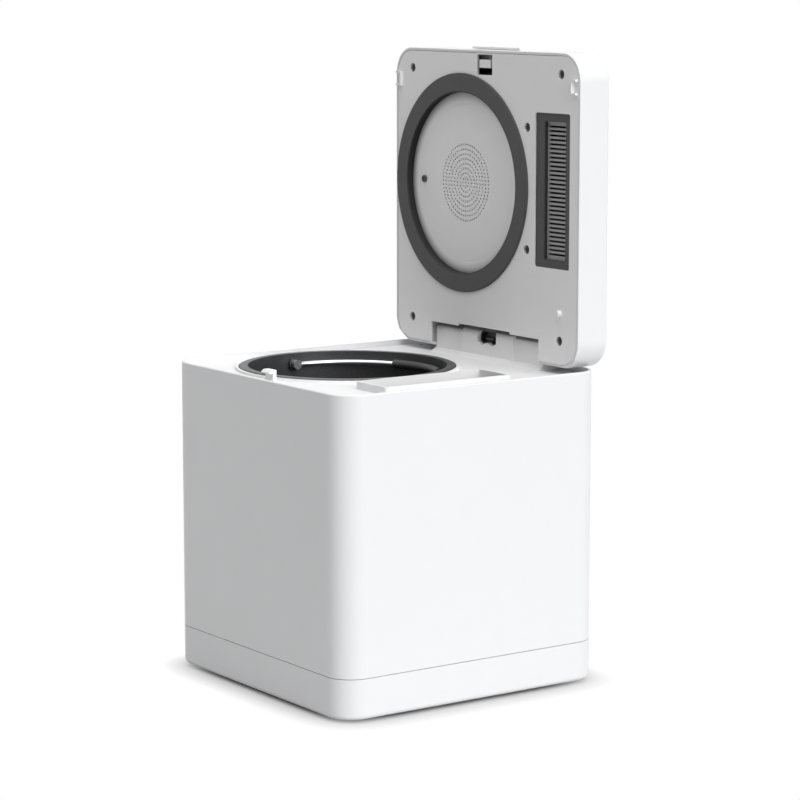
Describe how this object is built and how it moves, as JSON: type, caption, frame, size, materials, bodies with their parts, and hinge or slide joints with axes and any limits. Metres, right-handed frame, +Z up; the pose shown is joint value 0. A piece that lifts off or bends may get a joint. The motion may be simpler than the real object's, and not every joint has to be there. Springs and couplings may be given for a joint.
{
  "type": "electric food waste composter",
  "caption": "Cube-shaped countertop composter with a back-hinged lid, lift-out bucket with stirrer, sealing ring, charcoal filter outlet and front latch.",
  "frame": {"origin": "middle of the body's plan, on the surface that the feet stand on", "axes": "+Z up, -Y towards the front where the lid's release bar is, +X to the filter side; at rest the lid stands open"},
  "size_m": [0.285, 0.2913, 0.5784],
  "materials": {
    "white_housing": "fine satin moulding, pure white",
    "pale_panel": "matt pale grey-white moulding",
    "hinge_white": "satin white moulding",
    "seal_rubber": "dark grey silicone",
    "frame_rubber": "dark grey moulded seal",
    "black_plastic": "matt black moulding",
    "louvre_grey": "mid-grey moulding",
    "dark_coated": "dark grey non-stick coating on aluminium",
    "stirrer_coated": "dark grey coating on cast aluminium",
    "bright_steel": "stainless steel",
    "well_aluminium": "drawn aluminium",
    "heater_mica": "steel-jacketed mica heater",
    "bronze_bush": "oil-filled bronze",
    "gear_nylon": "natural nylon",
    "gearbox_zinc": "die-cast",
    "motor_steel": "dark enamel on steel",
    "duct_plastic": "light grey moulding",
    "filter_carbon": "non-woven pad filled with charcoal",
    "board_green": "soldered board",
    "panel_smoke": "smooth dark grey",
    "lens_clear": "translucent white",
    "button_silver": "satin silver-grey",
    "screw_steel": "zinc-plated",
    "foot_rubber": "matt grey rubber"
  },
  "bodies": {
    "base": {"outer_shell": "white_housing", "base_housing": "white_housing", "rubber_feet": "foot_rubber", "deck": "pale_panel", "hinge_block": "hinge_white", "cable_sleeve": "black_plastic", "latch_striker": "hinge_white", "heating_well": "well_aluminium", "heater_band": "heater_mica", "thermal_sensor": "bright_steel", "gearbox_case": "gearbox_zinc", "gearbox_cover": "gearbox_zinc", "shaft_bushes": "bronze_bush", "drive_motor": "motor_steel", "filter_duct": "duct_plastic", "blower_case": "black_plastic", "blower_motor": "motor_steel", "exhaust_grille": "louvre_grey", "main_board": "board_green", "power_inlet": "black_plastic", "lid_sensor": "black_plastic", "case_screws": "screw_steel", "well_screws": "screw_steel", "gearbox_screws": "screw_steel"},
    "output_drive": {"output_gear": "gear_nylon", "drive_shaft": "bright_steel"},
    "idler": {"idler_gear": "gear_nylon"},
    "pinion": {"motor_pinion": "bronze_bush"},
    "fan": {"blower_wheel": "black_plastic"},
    "filter": {"filter_frame": "louvre_grey", "filter_media": "filter_carbon"},
    "bin": {"bucket": "dark_coated", "bucket_skirt": "dark_coated", "bucket_bush": "bronze_bush"},
    "bail": {"bail_handle": "bright_steel", "bail_grip": "black_plastic"},
    "mixer": {"stirrer": "stirrer_coated", "driven_coupler": "bright_steel"},
    "lid": {"lid_cover": "white_housing", "lid_inner_panel": "pale_panel", "lid_gasket": "seal_rubber", "vent_dish": "pale_panel", "vent_screen": "pale_panel", "outlet_frame": "frame_rubber", "outlet_grille": "louvre_grey", "lid_duct": "duct_plastic", "lid_screws": "screw_steel", "hinge_pins": "bright_steel", "sensor_peg": "hinge_white", "control_panel": "panel_smoke", "indicator_lenses": "lens_clear", "display_board": "board_green", "latch_springs": "bright_steel"},
    "start_key": {"start_button": "button_silver"},
    "release": {"release_bar": "pale_panel"}
  },
  "joints": [
    {"name": "lid_hinge", "type": "hinge", "parent": "base", "child": "lid", "pos_m": [0, 0.12835, 0.30475], "axis": [-1, 0, 0], "range_deg": [-90, 0]},
    {"name": "release_slide", "type": "slide", "parent": "lid", "child": "release", "axis": [0, 0, 1], "range_m": [0, 0.0045], "stiffness_N_per_m": 300, "springref_m": -0.003, "deforming": ["latch_springs"]},
    {"name": "start_press", "type": "slide", "parent": "lid", "child": "start_key", "axis": [0, -1, 0], "range_m": [0, 0.001], "stiffness_N_per_m": 400, "springref_m": -0.001},
    {"name": "bucket_lift", "type": "slide", "parent": "base", "child": "bin", "axis": [0, 0, 1], "range_m": [0, 0.18]},
    {"name": "bail_swing", "type": "hinge", "parent": "bin", "child": "bail", "pos_m": [-0.0355, -0.017, 0.2775], "axis": [1, 0, 0], "range_deg": [0, 90]},
    {"name": "filter_lift", "type": "slide", "parent": "base", "child": "filter", "axis": [0, 0, 1], "range_m": [0, 0.13]},
    {"name": "output_spin", "type": "hinge", "parent": "base", "child": "output_drive", "pos_m": [-0.0355, -0.017, 0.08], "axis": [0, 0, 1], "continuous": true},
    {"name": "idler_spin", "type": "hinge", "parent": "base", "child": "idler", "pos_m": [0.0097, -0.03345, 0.08], "axis": [0, 0, 1], "continuous": true},
    {"name": "pinion_spin", "type": "hinge", "parent": "base", "child": "pinion", "pos_m": [0.02525, -0.06038, 0.08], "axis": [0, 0, 1], "continuous": true},
    {"name": "stirrer_spin", "type": "hinge", "parent": "bin", "child": "mixer", "pos_m": [-0.0355, -0.017, 0.14], "axis": [0, 0, 1], "continuous": true},
    {"name": "fan_spin", "type": "hinge", "parent": "base", "child": "fan", "pos_m": [0.1028, 0.095, 0.11], "axis": [0, 0, 1], "continuous": true}
  ],
  "couplings": [
    {"joint": "idler_spin", "follows": "output_spin", "ratio": -3},
    {"joint": "pinion_spin", "follows": "output_spin", "ratio": 12.5},
    {"joint": "stirrer_spin", "follows": "output_spin", "ratio": 1}
  ]
}
